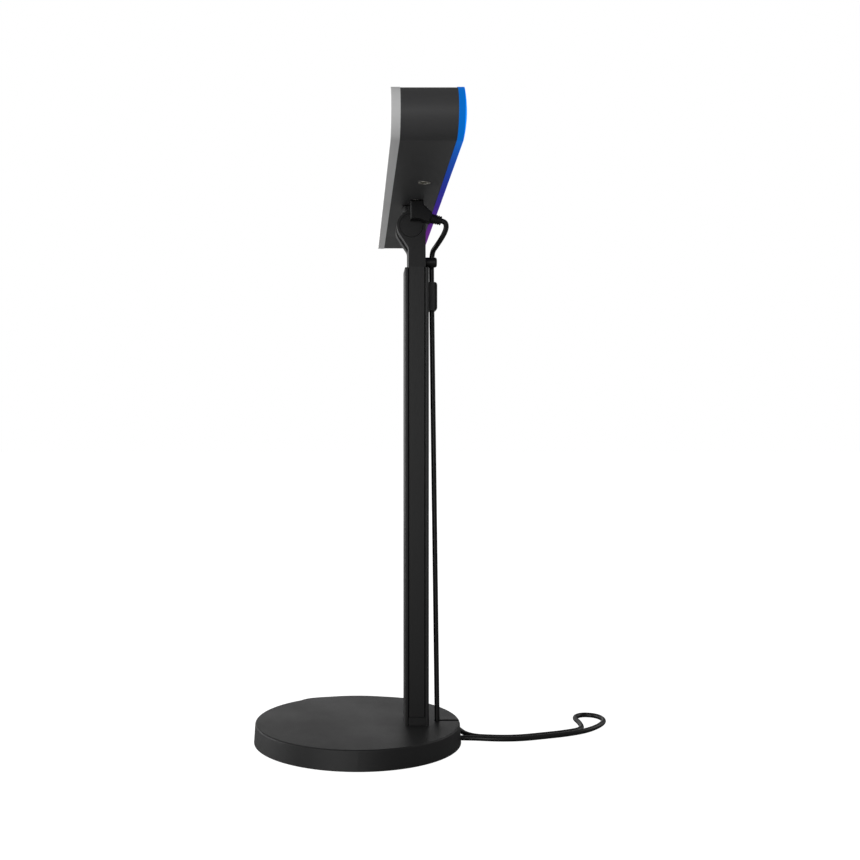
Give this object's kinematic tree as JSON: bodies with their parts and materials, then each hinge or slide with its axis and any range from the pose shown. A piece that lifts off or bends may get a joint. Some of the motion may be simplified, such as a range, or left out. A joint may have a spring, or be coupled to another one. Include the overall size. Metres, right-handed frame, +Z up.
{
  "type": "desk light bar on stand",
  "caption": "Two-sided desk light bar on a tilting head and telescoping rectangular mast, with a round weighted base and a power lead with a right-angle plug.",
  "frame": {"origin": "centre of the round base on the surface it stands on", "axes": "+Z up, the light bar lies along X, the white key light faces -Y and the coloured back light faces +Y"},
  "size_m": [0.39, 0.2739, 0.4295],
  "materials": {
    "base_paint": "fine matt powder coat",
    "weight_steel": "as cast, hidden",
    "pad_rubber": "matt",
    "zinc_screws": "zinc plated",
    "black_screws": "blackened",
    "mast_anodised": "black anodised, satin",
    "foot_aluminium": "black",
    "clevis_black": "black, satin",
    "collar_black": "black anodised, knurled",
    "stud_steel": "bright",
    "slide_plastic": "acetal",
    "clip_black": "satin",
    "housing_charcoal": "fine matt texture",
    "insert_nickel": "nickel plated",
    "front_diffuser_white": "opal, lit from inside",
    "rear_diffuser_colour": "opal, lit blue to purple from inside",
    "chassis_aluminium": "mill finish",
    "reflector_white": "matt white",
    "board": "solder mask",
    "led": "phosphor",
    "electronics": "moulded",
    "button_rubber": "satin",
    "plug_black": "soft matt overmould",
    "barrel_nickel": "nickel plated",
    "cord_black": "satin PVC",
    "tie_black": "hook and loop"
  },
  "bodies": {
    "root": {"base_cover": "base_paint", "base_weight": "weight_steel", "base_pad": "pad_rubber", "base_screws": "zinc_screws", "outer_mast": "mast_anodised", "mast_foot": "foot_aluminium", "mast_bolts": "zinc_screws", "travel_stops": "stud_steel", "mast_cable_clip": "clip_black", "mast_clip_screw": "zinc_screws", "cord_lower": "cord_black", "cord_hank": "cord_black", "hank_tie": "tie_black", "usb_shell": "barrel_nickel", "usb_body": "plug_black", "usb_relief": "plug_black"},
    "inner_mast": {"slider_right": "mast_anodised", "slider_left": "mast_anodised", "slide_shoes": "slide_plastic", "neck_clevis": "clevis_black", "neck_screws": "black_screws", "neck_cable_clip": "clip_black", "pivot_bolt": "black_screws", "pivot_nut": "black_screws", "pivot_caps": "clip_black", "friction_washers": "slide_plastic", "cord_upper": "cord_black"},
    "light_bar": {"tilt_tongue": "clevis_black", "mount_collar": "collar_black", "mount_stud": "stud_steel", "bar_housing": "housing_charcoal", "threaded_inserts": "insert_nickel", "front_diffuser": "front_diffuser_white", "rear_diffuser": "rear_diffuser_colour", "chassis_plate": "chassis_aluminium", "chassis_screws": "zinc_screws", "front_reflector": "reflector_white", "front_led_board": "board", "front_leds": "led", "rear_led_board": "board", "rear_leds": "led", "rear_board_posts": "chassis_aluminium", "driver_board": "board", "driver_parts": "electronics", "dc_jack": "electronics", "button_board": "board", "tact_switches": "electronics", "dc_plug": "plug_black", "plug_barrel": "barrel_nickel", "strain_relief": "plug_black"},
    "power_key": {"power_button": "button_rubber"},
    "dimmer_key": {"dimmer_button": "button_rubber"},
    "brighter_key": {"brighter_button": "button_rubber"},
    "cooler_key": {"cooler_button": "button_rubber"},
    "warmer_key": {"warmer_button": "button_rubber"},
    "back_light_key": {"back_light_button": "button_rubber"}
  },
  "joints": [
    {"name": "mast_slide", "type": "slide", "parent": "root", "child": "inner_mast", "axis": [0, 0, 1], "range_m": [0, 0.15], "deforming": ["cord_lower"]},
    {"name": "head_tilt", "type": "hinge", "parent": "inner_mast", "child": "light_bar", "pos_m": [0, 0.0394, 0.3816], "axis": [1, 0, 0], "range_deg": [-15, 90], "deforming": ["cord_upper"]},
    {"name": "power_press", "type": "slide", "parent": "light_bar", "child": "power_key", "axis": [0, 0, -1], "range_m": [0, 0.0008], "stiffness_N_per_m": 100, "springref_m": -0.004},
    {"name": "dimmer_press", "type": "slide", "parent": "light_bar", "child": "dimmer_key", "axis": [0, 0, -1], "range_m": [0, 0.0008], "stiffness_N_per_m": 100, "springref_m": -0.004},
    {"name": "brighter_press", "type": "slide", "parent": "light_bar", "child": "brighter_key", "axis": [0, 0, -1], "range_m": [0, 0.0008], "stiffness_N_per_m": 100, "springref_m": -0.004},
    {"name": "cooler_press", "type": "slide", "parent": "light_bar", "child": "cooler_key", "axis": [0, 0, -1], "range_m": [0, 0.0008], "stiffness_N_per_m": 100, "springref_m": -0.004},
    {"name": "warmer_press", "type": "slide", "parent": "light_bar", "child": "warmer_key", "axis": [0, 0, -1], "range_m": [0, 0.0008], "stiffness_N_per_m": 100, "springref_m": -0.004},
    {"name": "back_light_press", "type": "slide", "parent": "light_bar", "child": "back_light_key", "axis": [0, 0, -1], "range_m": [0, 0.0008], "stiffness_N_per_m": 100, "springref_m": -0.004}
  ]
}
